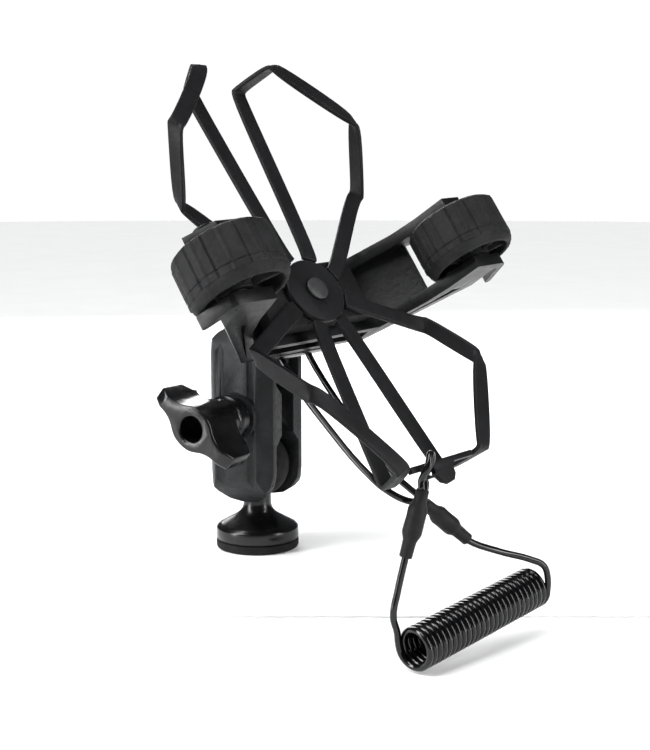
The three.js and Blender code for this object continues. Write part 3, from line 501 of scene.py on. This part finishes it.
for side, sideName in ((-1, "left"), (1, "right")):
    low, high = -wheel["width"] / 2, wheel["width"] / 2
    radius, inner = wheel["radius"], wheel["radius"] - wheel["rimT"]
    parting = wheel["partingAt"]
    heights = [
        low + wheel["bandT"], low + wheel["bandT"] + 0.4, parting - 1, parting - 0.4, parting - 0.15,
        parting, parting + 0.15, parting + 0.4, parting + 1.5, 0, 3, 6, high - 2.2, high - 1.7]
    loop = [(inner + 0.4, low), (radius - 2.2, low), (radius - 1.8, low + 0.2), (radius - 0.8, low + 1.4),
            (radius - 0.4, low + 2.2), (radius - 0.3, low + wheel["bandT"] - 0.4)]
    loop += [(radius, h) for h in heights]
    loop += [(radius - 0.3, high - 1.1), (radius - 1.6, high - 0.2), (radius - 2.4, high), (13.2, high),
             (12.7, high - 0.45), (0, high - 0.45)]
    webLow = high - wheel["webT"]
    loop = [(0, webLow), (inner - 0.6, webLow), (inner, webLow - 0.6), (inner, low + 0.5)] + loop
    bm = spun(loop, 288)
    for v in bm.verts:
        distance = math.hypot(v.co.x, v.co.y) / mm
        height = v.co.z / mm
        if distance > radius - 0.05 and heights[0] - 0.01 < height < heights[-1] + 0.01:
            angle = math.degrees(math.atan2(v.co.y, v.co.x))
            grown = 1 + treadOffset(angle, height, side) / distance
            v.co.x *= grown
            v.co.y *= grown
    shiftR = side * (mount["pinAxisR"] - mount["wheelCentreR"])
    shiftN = -(mount["pinAxisN"] - mount["wheelCentreN"])
    tube = spun([(wheel["bushR"] + 0.15, low + 1), (wheel["hubR"] - 0.3, low + 1), (wheel["hubR"], low + 1.3),
                 (wheel["hubR"], webLow + 0.3), (wheel["bushR"] + 0.15, webLow + 0.3)],
                48, closed=True)
    place(tube, Matrix.Translation((shiftR * mm, shiftN * mm, 0)))
    addShell(bm, tube)
    for i in range(wheel["spokes"]):
        turn = (i + 0.25) * 2 * math.pi / wheel["spokes"]
        heading = Vector((math.cos(turn), math.sin(turn)))
        offset = Vector((shiftR, shiftN))
        lead = offset.dot(heading)
        along = -lead + math.sqrt(lead ** 2 - offset.length_squared + (inner + 0.4) ** 2)
        start = wheel["hubR"] - 0.4
        spoke = bmesh.new()
        bmesh.ops.create_cube(spoke, size=1)
        deep = webLow - low - 1.7
        bmesh.ops.scale(
            spoke, vec=((along - start) * mm, wheel["spokeT"] * mm, deep * mm), verts=spoke.verts[:])
        soften(spoke, 0.35, 2)
        middle = (low + 2 + webLow + 0.3) / 2
        place(spoke, Matrix.Translation((shiftR * mm, shiftN * mm, 0)) @ Matrix.Rotation(turn, 4, "Z")
              @ Matrix.Translation(((along + start) / 2 * mm, 0, middle * mm)))
        addShell(bm, spoke)
    place(bm, phoneFrame @ Matrix.Translation(
        (side * mount["wheelCentreR"] * mm, mount["wheelMidU"] * mm, mount["wheelCentreN"] * mm))
        @ Matrix.Rotation(-math.pi / 2, 4, "X"))
    tyre = finishPiece(sideName + "Wheel", bm, treadRubber, 28)
    settle(tyre, sideName + "_wheel", "wheel_rubber", sideName + "_wheel")
print("wheels moulded")


# Yoke
yoke = {"bevel": 0.45, "shortEdge": 2.2}


def longEnough(edge):
    return edge.calc_length() > yoke["shortEdge"] * mm


bm = cleanCopy("yoke")
soften(bm, yoke["bevel"], 3, 20, longEnough)
settle(finishPiece("wheelYoke", bm, yokeNylon, 30), "cradle", "yoke_nylon", "yoke")
print("yoke shaped")


# Harness: four stretch bands, each a flat strip solidified, rounded and smoothed
harness = {
    "width": 6.5, "thick": 2.0, "halfR": 44, "halfU": 82.6, "frontN": 3.1, "rearN": -14.6, "sideR": 45.6,
    "endU": 84.2, "hubU": -4.3, "hubN": -16.3, "hubEdge": 13.7, "round": 2.2, "sideFan": 24, "endFan": 68,
    "corners": {"upper_left": (-1, 1, 21, 59), "upper_right": (1, 1, 17, 57), "lower_left": (-1, -1, 22, 50),
                "lower_right": (1, -1, 22, 51)},
}


def bandStations(side, end, across, along):
    h = harness
    sideBack, endBack = along - 24, across - 7
    front, rear, sideR, endU, r = h["frontN"], h["rearN"], h["sideR"], h["endU"], h["round"]

    def fromHub(fan, far=0):
        reach = h["hubEdge"] + far
        return (side * reach * math.cos(fan * deg), h["hubU"] + end * reach * math.sin(fan * deg), h["hubN"])
    return [
        (fromHub(h["sideFan"]), (0, 0, -1)), (fromHub(h["sideFan"], 5), (0, 0, -1)),
        ((side * (h["halfR"] - r), end * (sideBack - 1.5), rear), (0, 0, -1)),
        ((side * (sideR - 0.6), end * sideBack, rear + 0.8), (side, 0, -1)),
        ((side * sideR, end * (sideBack + 2), rear + r), (side, 0, 0)),
        ((side * sideR, end * (along - 2), front - r), (side, 0, 0)),
        ((side * (sideR - 0.6), end * along, front - 0.8), (side, 0, 1)),
        ((side * (h["halfR"] - r), end * (along + 2.2), front), (0, 0, 1)),
        ((side * (across + 1.6), end * (h["halfU"] - r), front), (0, 0, 1)),
        ((side * across, end * (endU - 0.6), front - 0.8), (0, end, 1)),
        ((side * (across - 0.6), end * endU, front - r), (0, end, 0)),
        ((side * (endBack + 0.8), end * endU, rear + r), (0, end, 0)),
        ((side * (endBack + 0.2), end * (endU - 0.6), rear + 0.8), (0, end, -1)),
        ((side * (endBack - 0.4), end * (h["halfU"] - r), rear), (0, 0, -1)),
        (fromHub(h["endFan"], 5), (0, 0, -1)), (fromHub(h["endFan"]), (0, 0, -1))]


for cornerName, spots in harness["corners"].items():
    stations = bandStations(*spots)
    places = [Vector(p) for p, out in stations]
    bm = bmesh.new()
    lastPair = None
    for i, (_, out) in enumerate(stations):
        run = (places[min(i + 1, len(places) - 1)] - places[max(i - 1, 0)]).normalized()
        across = Vector(out).cross(run).normalized()
        pair = [bm.verts.new((places[i] + across * s * harness["width"] / 2) * mm) for s in (-1, 0, 1)]
        if lastPair:
            for a, b in ((0, 1), (1, 2)):
                bm.faces.new((lastPair[a], lastPair[b], pair[b], pair[a]))
        lastPair = pair
    place(bm, phoneFrame)
    mesh = bpy.data.meshes.new("band_" + cornerName)
    bm.to_mesh(mesh)
    bm.free()
    mesh.materials.append(mattSilicone)
    mesh.polygons.foreach_set("use_smooth", [True] * len(mesh.polygons))
    band = bpy.data.objects.new("band_" + cornerName, mesh)
    bpy.context.scene.collection.objects.link(band)
    wall = band.modifiers.new("wall", "SOLIDIFY")
    wall.thickness = harness["thick"] * mm
    wall.offset = 0
    rounding = band.modifiers.new("rounding", "BEVEL")
    rounding.width = 0.55 * mm
    rounding.segments = 2
    rounding.limit_method = "ANGLE"
    rounding.angle_limit = 50 * deg
    smooth = band.modifiers.new("smooth", "SUBSURF")
    smooth.levels = smooth.render_levels = 2
    settle(band, "cradle", "silicone", "harness_" + cornerName)
print("harness bands laid")


# Small pieces: rounded copies of their CAD solids
smallPieces = [
    ("threadInsert", "thread_insert", "base", turnedBrass, "brass", 0.2),
    ("clampBolt", "clamp_bolt", "arm", zincSteel, "zinc_steel", 0.3),
    ("clampSpring", "clamp_spring", "arm", zincSteel, "zinc_steel", 0.0),
    ("knobWasher", "knob_washer", "arm", zincSteel, "zinc_steel", 0.2),
    ("knobNut", "knob_nut", "knob", turnedBrass, "brass", 0.2),
    ("ballStem", "ball_stem", "cradle", glossNylon, "gloss_nylon", 0.4),
    ("stemScrewLowerLeft", "stem_screw_lower_left", "cradle", zincSteel, "zinc_steel", 0.3),
    ("stemScrewUpperLeft", "stem_screw_upper_left", "cradle", zincSteel, "zinc_steel", 0.3),
    ("stemScrewLowerRight", "stem_screw_lower_right", "cradle", zincSteel, "zinc_steel", 0.3),
    ("stemScrewUpperRight", "stem_screw_upper_right", "cradle", zincSteel, "zinc_steel", 0.3),
    ("backPad", "back_pad", "cradle", footRubber, "ball_rubber", 0.6),
    ("hubRivet", "hub_rivet", "cradle", bushNylon, "bush_nylon", 0.3),
    ("leftWheelBush", "left_wheel_bush", "left_wheel", bushNylon, "bush_nylon", 0.2),
    ("rightWheelBush", "right_wheel_bush", "right_wheel", bushNylon, "bush_nylon", 0.2),
    ("leftWheelPin", "left_wheel_pin", "cradle", blackOxide, "black_steel", 0.4),
    ("rightWheelPin", "right_wheel_pin", "cradle", blackOxide, "black_steel", 0.4),
    ("harnessHub", "harness_hub", "cradle", mattSilicone, "silicone", 0.5),
    ("harnessTab", "harness_tab", "cradle", mattSilicone, "silicone", 0.5),
]
for pieceName, nodeName, body, material, slotName, width in smallPieces:
    bm = cleanCopy(nodeName)
    if width:
        soften(bm, width, 2, 40)
    settle(finishPiece(pieceName, bm, material, 35), body, slotName, nodeName)
print("small pieces finished")


# Stage: pale floor, and the ledge that the base stands on
stage = {"floorZ": -24.5, "ledgeFront": 17.5, "ledgeDepth": 62, "ledgeLength": 900, "ledgeT": 24.4}
bm = bmesh.new()
bmesh.ops.create_circle(bm, cap_ends=True, radius=4, segments=64,
                        matrix=Matrix.Translation((0, 0, stage["floorZ"] * mm)))
floor = finishPiece("floor", bm, paleBoard)
bm = bmesh.new()
bmesh.ops.create_cube(bm, size=1)
ledgeSize = Vector((stage["ledgeLength"], stage["ledgeDepth"], stage["ledgeT"])) * mm
bmesh.ops.scale(bm, vec=ledgeSize, verts=bm.verts[:])
soften(bm, 2, 3)
place(bm, Matrix.Rotation(view["turn"] * deg, 4, "Z") @ Matrix.Translation(
    (0, (stage["ledgeDepth"] / 2 - stage["ledgeFront"]) * mm, -stage["ledgeT"] / 2 * mm)))
ledge = finishPiece("ledge", bm, paleBoard)
bm = bmesh.new()
bmesh.ops.create_uvsphere(bm, u_segments=48, v_segments=24, radius=5)
backdrop = finishPiece("backdrop", bm, newMaterial("paleBackdrop", {
    "Base Color": (0, 0, 0, 1), "Emission Color": linearColour("#ffffff"), "Emission Strength": 1.0})[0])
for rays in ("visible_diffuse", "visible_glossy", "visible_transmission", "visible_shadow"):
    setattr(backdrop, rays, False)

world = bpy.data.worlds.new("studio")
bpy.context.scene.world = world
world.use_nodes = True
world.node_tree.nodes["Background"].inputs["Color"].default_value = linearColour("#e8ecf0")
world.node_tree.nodes["Background"].inputs["Strength"].default_value = 0.12
bpy.context.scene.view_settings.view_transform = "Standard"

softboxes = {
    "left": {"from": (-0.75, 0.25, 0.3), "size": (0.2, 0.9), "watts": 10},
    "right": {"from": (0.3, -0.8, 0.35), "size": (0.2, 0.9), "watts": 8},
    "behind": {"from": (0.55, 0.75, 0.45), "size": (0.5, 0.5), "watts": 7},
}
lampTarget = Vector((0, -0.03, 0.07))
for lightName, box in softboxes.items():
    lamp = bpy.data.lights.new(lightName, "AREA")
    lamp.shape = "RECTANGLE"
    lamp.size, lamp.size_y = box["size"]
    lamp.energy = box["watts"]
    light = bpy.data.objects.new(lightName, lamp)
    bpy.context.scene.collection.objects.link(light)
    light.location = box["from"]
    aim = lampTarget - Vector(box["from"])
    light.rotation_euler = aim.to_track_quat("-Z", "Y").to_euler()
# a wide, distant lamp keeps the floor evenly white to the horizon
overhead = {"from": (-0.5, 0.1, 0.98), "strength": 3.15, "spread": 40}
lamp = bpy.data.lights.new("overhead", "SUN")
lamp.energy = overhead["strength"]
lamp.angle = overhead["spread"] * deg
light = bpy.data.objects.new("overhead", lamp)
bpy.context.scene.collection.objects.link(light)
light.rotation_euler = (-Vector(overhead["from"])).to_track_quat("-Z", "Y").to_euler()
print("stage lit")
